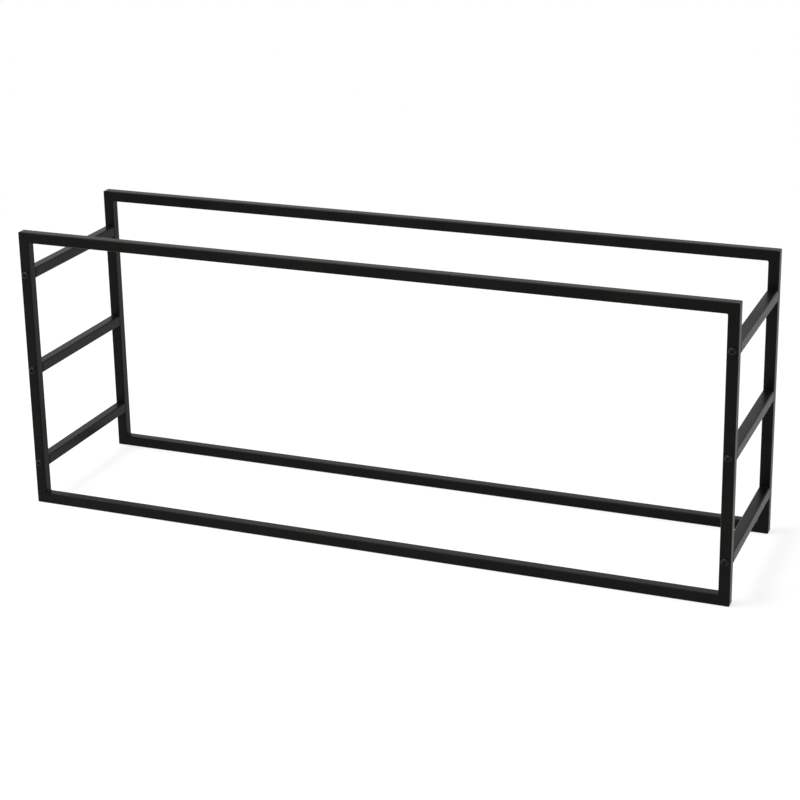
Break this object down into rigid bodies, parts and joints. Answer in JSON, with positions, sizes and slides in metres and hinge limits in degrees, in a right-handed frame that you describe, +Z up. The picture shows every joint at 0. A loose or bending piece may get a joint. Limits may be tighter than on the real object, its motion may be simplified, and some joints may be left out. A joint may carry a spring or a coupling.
{
  "type": "firewood log rack",
  "caption": "Long open log rack: two rectangular frames of square steel tube, tied at each end by bolted crossbars.",
  "frame": {"origin": "on the floor, at the middle of the rack's length and depth", "axes": "+X along the length, +Y from the front to the back, +Z up"},
  "size_m": [1, 0.2566, 0.4],
  "materials": {
    "frame_coat": "matt black powder coat with a fine texture",
    "crossbar_coat": "matt black powder coat with a fine texture",
    "weld_coat": "matt black powder coat over a rippled weld",
    "bolt_black": "black oxide, satin",
    "plug_nylon": "moulded black nylon, matt",
    "bush_steel": "zinc plated, satin"
  },
  "bodies": {
    "root": {"front_bottom_rail": "frame_coat", "front_top_rail": "frame_coat", "front_left_post": "frame_coat", "front_right_post": "frame_coat", "front_corner_welds": "weld_coat", "rear_bottom_rail": "frame_coat", "rear_top_rail": "frame_coat", "rear_left_post": "frame_coat", "rear_right_post": "frame_coat", "rear_corner_welds": "weld_coat", "left_lower_crossbar": "crossbar_coat", "left_lower_crossbar_front_plug": "plug_nylon", "left_lower_crossbar_front_bush": "bush_steel", "left_lower_crossbar_rear_plug": "plug_nylon", "left_lower_crossbar_rear_bush": "bush_steel", "left_middle_crossbar": "crossbar_coat", "left_middle_crossbar_front_plug": "plug_nylon", "left_middle_crossbar_front_bush": "bush_steel", "left_middle_crossbar_rear_plug": "plug_nylon", "left_middle_crossbar_rear_bush": "bush_steel", "left_upper_crossbar": "crossbar_coat", "left_upper_crossbar_front_plug": "plug_nylon", "left_upper_crossbar_front_bush": "bush_steel", "left_upper_crossbar_rear_plug": "plug_nylon", "left_upper_crossbar_rear_bush": "bush_steel", "front_left_bolts": "bolt_black", "rear_left_bolts": "bolt_black", "right_lower_crossbar": "crossbar_coat", "right_lower_crossbar_front_plug": "plug_nylon", "right_lower_crossbar_front_bush": "bush_steel", "right_lower_crossbar_rear_plug": "plug_nylon", "right_lower_crossbar_rear_bush": "bush_steel", "right_middle_crossbar": "crossbar_coat", "right_middle_crossbar_front_plug": "plug_nylon", "right_middle_crossbar_front_bush": "bush_steel", "right_middle_crossbar_rear_plug": "plug_nylon", "right_middle_crossbar_rear_bush": "bush_steel", "right_upper_crossbar": "crossbar_coat", "right_upper_crossbar_front_plug": "plug_nylon", "right_upper_crossbar_front_bush": "bush_steel", "right_upper_crossbar_rear_plug": "plug_nylon", "right_upper_crossbar_rear_bush": "bush_steel", "front_right_bolts": "bolt_black", "rear_right_bolts": "bolt_black"}
  },
  "joints": []
}
